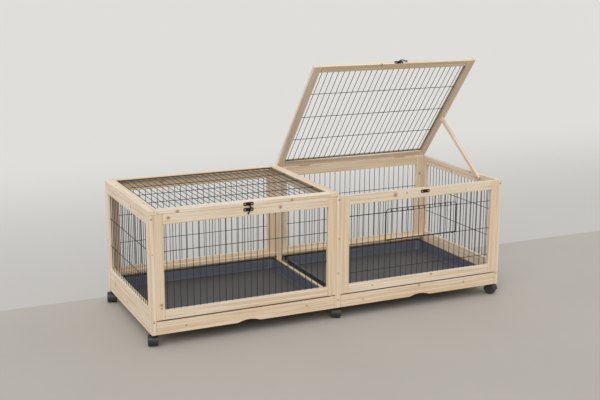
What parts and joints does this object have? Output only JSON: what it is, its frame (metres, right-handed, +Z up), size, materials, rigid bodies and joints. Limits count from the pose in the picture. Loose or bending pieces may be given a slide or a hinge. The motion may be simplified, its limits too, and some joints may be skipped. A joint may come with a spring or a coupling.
{
  "type": "guinea pig run",
  "caption": "Wooden guinea pig run on casters, with wire mesh panels, hinged mesh lids, a prop stick, a wire door and pull-out trays.",
  "frame": {"origin": "on the floor, under the middle of the run", "axes": "+X to the right along the run, +Y to the back where the lids hinge, +Z up"},
  "size_m": [1.5366, 0.621, 0.9763],
  "materials": {
    "pine_wood": "satin clear lacquer",
    "black_wire": "satin paint",
    "tray_plastic": "matte",
    "caster_plastic": "satin",
    "wheel_plastic": "satin",
    "bronze_metal": "antique bronze",
    "zinc_steel": "zinc plated"
  },
  "bodies": {
    "frame": {"left_side_stiles": "pine_wood", "left_side_rails": "pine_wood", "left_side_mesh": "black_wire", "right_side_stiles": "pine_wood", "right_side_rails": "pine_wood", "right_side_mesh": "black_wire", "middle_stiles": "pine_wood", "middle_rails": "pine_wood", "left_front_stiles": "pine_wood", "left_front_rails": "pine_wood", "left_front_mesh": "black_wire", "right_front_stiles": "pine_wood", "right_front_rails": "pine_wood", "right_front_mesh": "black_wire", "left_back_stiles": "pine_wood", "left_back_rails": "pine_wood", "left_back_mesh": "black_wire", "right_back_stiles": "pine_wood", "right_back_rails": "pine_wood", "right_back_mesh": "black_wire", "tray_battens": "pine_wood", "frame_screws": "zinc_steel", "panel_dowels": "pine_wood", "frame_hinge_leaves": "zinc_steel", "hinge_pins": "zinc_steel", "catch_plates": "bronze_metal", "prop_screw": "zinc_steel", "caster_stems": "zinc_steel"},
    "left_lid": {"left_lid_stiles": "pine_wood", "left_lid_rails": "pine_wood", "left_lid_mesh": "black_wire", "left_lid_hinge_leaves": "zinc_steel", "left_lid_latch_plate": "bronze_metal"},
    "left_latch": {"left_latch_hook": "bronze_metal"},
    "right_lid": {"right_lid_stiles": "pine_wood", "right_lid_rails": "pine_wood", "right_lid_mesh": "black_wire", "right_lid_hinge_leaves": "zinc_steel", "right_lid_latch_plate": "bronze_metal"},
    "right_latch": {"right_latch_hook": "bronze_metal"},
    "prop": {"prop_stick": "pine_wood"},
    "wire_door": {"wire_door": "black_wire"},
    "left_drawer": {"left_drawer_front": "pine_wood", "left_drawer_cleat": "pine_wood", "left_tray": "tray_plastic"},
    "right_drawer": {"right_drawer_front": "pine_wood", "right_drawer_cleat": "pine_wood", "right_tray": "tray_plastic"},
    "caster_1": {"caster_hood_1": "caster_plastic"},
    "wheels_1": {"caster_wheels_1": "wheel_plastic"},
    "caster_2": {"caster_hood_2": "caster_plastic"},
    "wheels_2": {"caster_wheels_2": "wheel_plastic"},
    "caster_3": {"caster_hood_3": "caster_plastic"},
    "wheels_3": {"caster_wheels_3": "wheel_plastic"},
    "caster_4": {"caster_hood_4": "caster_plastic"},
    "wheels_4": {"caster_wheels_4": "wheel_plastic"},
    "caster_5": {"caster_hood_5": "caster_plastic"},
    "wheels_5": {"caster_wheels_5": "wheel_plastic"},
    "caster_6": {"caster_hood_6": "caster_plastic"},
    "wheels_6": {"caster_wheels_6": "wheel_plastic"}
  },
  "joints": [
    {"name": "left_lid_hinge", "type": "hinge", "parent": "frame", "child": "left_lid", "pos_m": [-0.375, 0.3, 0.49315], "axis": [-1, 0, 0], "range_deg": [0, 130]},
    {"name": "right_lid_hinge", "type": "hinge", "parent": "frame", "child": "right_lid", "pos_m": [0.375, 0.3, 0.49315], "axis": [-1, 0, 0], "range_deg": [-51.2, 0]},
    {"name": "prop_pivot", "type": "hinge", "parent": "frame", "child": "prop", "pos_m": [0.726, -0.1635, 0.479], "axis": [1, 0, 0], "range_deg": [-125.42, 0]},
    {"name": "left_latch_swing", "type": "hinge", "parent": "left_lid", "child": "left_latch", "pos_m": [-0.37275, -0.304, 0.5008], "axis": [0, -1, 0], "range_deg": [0, 120]},
    {"name": "right_latch_swing", "type": "hinge", "parent": "right_lid", "child": "right_latch", "pos_m": [0.38125, -0.07251, 0.96866], "axis": [0, -0.6266, 0.7793], "range_deg": [-95, 25]},
    {"name": "wire_door_hinge", "type": "hinge", "parent": "frame", "child": "wire_door", "pos_m": [0.372, -0.291, 0.294], "axis": [1, 0, 0], "range_deg": [0, 115]},
    {"name": "left_drawer_slide", "type": "slide", "parent": "frame", "child": "left_drawer", "axis": [0, -1, 0], "range_m": [0, 0.5]},
    {"name": "right_drawer_slide", "type": "slide", "parent": "frame", "child": "right_drawer", "axis": [0, -1, 0], "range_m": [0, 0.5]},
    {"name": "caster_swivel_1", "type": "hinge", "parent": "frame", "child": "caster_1", "pos_m": [-0.741, -0.28, 0.048], "axis": [0, 0, 1], "continuous": true},
    {"name": "wheel_spin_1", "type": "hinge", "parent": "caster_1", "child": "wheels_1", "pos_m": [-0.73822, -0.27144, 0.02], "axis": [0.9511, -0.309, 0], "continuous": true},
    {"name": "caster_swivel_2", "type": "hinge", "parent": "frame", "child": "caster_2", "pos_m": [0, -0.282, 0.048], "axis": [0, 0, 1], "continuous": true},
    {"name": "wheel_spin_2", "type": "hinge", "parent": "caster_2", "child": "wheels_2", "pos_m": [0.0038, -0.27384, 0.02], "axis": [0.9063, -0.4226, 0], "continuous": true},
    {"name": "caster_swivel_3", "type": "hinge", "parent": "frame", "child": "caster_3", "pos_m": [0.741, -0.28, 0.048], "axis": [0, 0, 1], "continuous": true},
    {"name": "wheel_spin_3", "type": "hinge", "parent": "caster_3", "child": "wheels_3", "pos_m": [0.7365, -0.27221, 0.02], "axis": [0.866, 0.5, 0], "continuous": true},
    {"name": "caster_swivel_4", "type": "hinge", "parent": "frame", "child": "caster_4", "pos_m": [-0.741, 0.28, 0.048], "axis": [0, 0, 1], "continuous": true},
    {"name": "wheel_spin_4", "type": "hinge", "parent": "caster_4", "child": "wheels_4", "pos_m": [-0.74408, 0.27154, 0.02], "axis": [-0.9397, 0.342, 0], "continuous": true},
    {"name": "caster_swivel_5", "type": "hinge", "parent": "frame", "child": "caster_5", "pos_m": [0, 0.282, 0.048], "axis": [0, 0, 1], "continuous": true},
    {"name": "wheel_spin_5", "type": "hinge", "parent": "caster_5", "child": "wheels_5", "pos_m": [0, 0.273, 0.02], "axis": [-1, 0, 0], "continuous": true},
    {"name": "caster_swivel_6", "type": "hinge", "parent": "frame", "child": "caster_6", "pos_m": [0.741, 0.28, 0.048], "axis": [0, 0, 1], "continuous": true},
    {"name": "wheel_spin_6", "type": "hinge", "parent": "caster_6", "child": "wheels_6", "pos_m": [0.74333, 0.27131, 0.02], "axis": [-0.9659, -0.2588, 0], "continuous": true}
  ],
  "couplings": [
    {"joint": "prop_pivot", "follows": "right_lid_hinge", "ratio": 2.4495}
  ]
}
